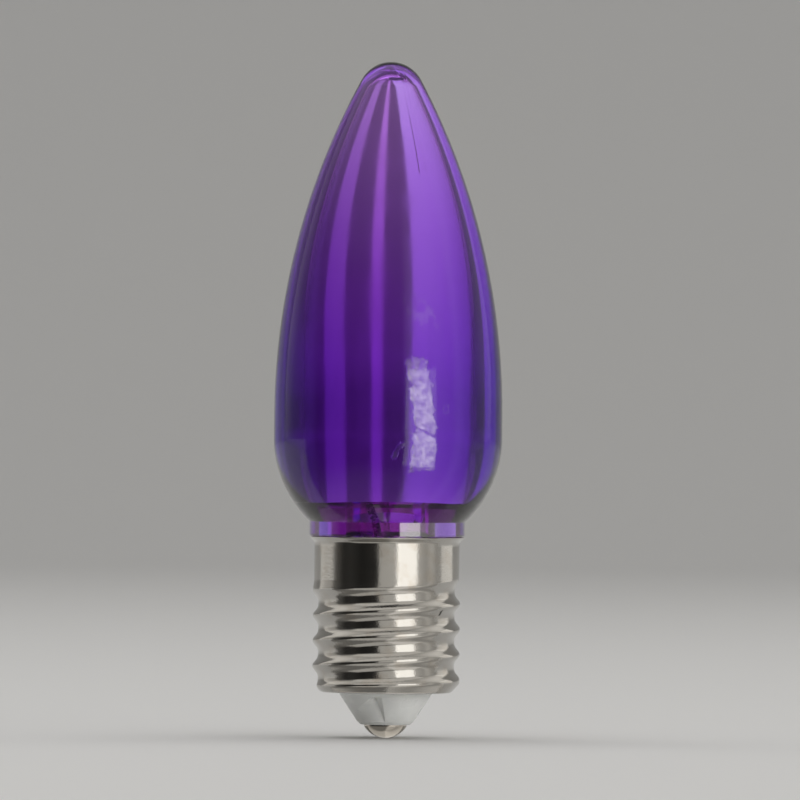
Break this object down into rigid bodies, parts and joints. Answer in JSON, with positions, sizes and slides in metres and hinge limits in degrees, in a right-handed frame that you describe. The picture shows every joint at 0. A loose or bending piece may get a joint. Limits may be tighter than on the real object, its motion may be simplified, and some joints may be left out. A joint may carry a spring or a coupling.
{
  "type": "christmas light bulb",
  "caption": "Small transparent flame-shaped decorative bulb with a screw cap, a moulded neck and a light-emitting board inside.",
  "frame": {"origin": "tip of the centre contact, on the bulb's axis", "axes": "+Z along the bulb's axis from the centre contact to the envelope's tip, -Y towards the viewer"},
  "size_m": [0.0256, 0.0256, 0.0757],
  "materials": {
    "tinted_plastic": "clear violet moulded plastic, polished, lightly scuffed",
    "plated_sheet": "bright nickel plating over rolled sheet",
    "white_plastic": "white moulded plastic, satin",
    "plated_contact": "polished nickel plating",
    "board": "glass-fibre circuit board with pale solder mask",
    "chip": "white chip body with a clear window",
    "black_moulding": "black moulded component body",
    "resistor_body": "lacquered resistor",
    "lead_insulation": "thin wire insulation",
    "solder": "dull solder"
  },
  "bodies": {
    "root": {"envelope": "tinted_plastic", "neck": "tinted_plastic", "screw_cap": "plated_sheet", "insulator": "white_plastic", "centre_contact": "plated_contact", "driver_board": "board", "led_board": "board", "led_chip_1": "chip", "led_chip_2": "chip", "led_chip_3": "chip", "bridge_rectifier": "black_moulding", "dropper_resistor_left": "black_moulding", "dropper_resistor_right": "black_moulding", "fusible_resistor": "resistor_body", "centre_lead": "lead_insulation", "side_lead": "lead_insulation", "solder_joints": "solder"}
  },
  "joints": []
}
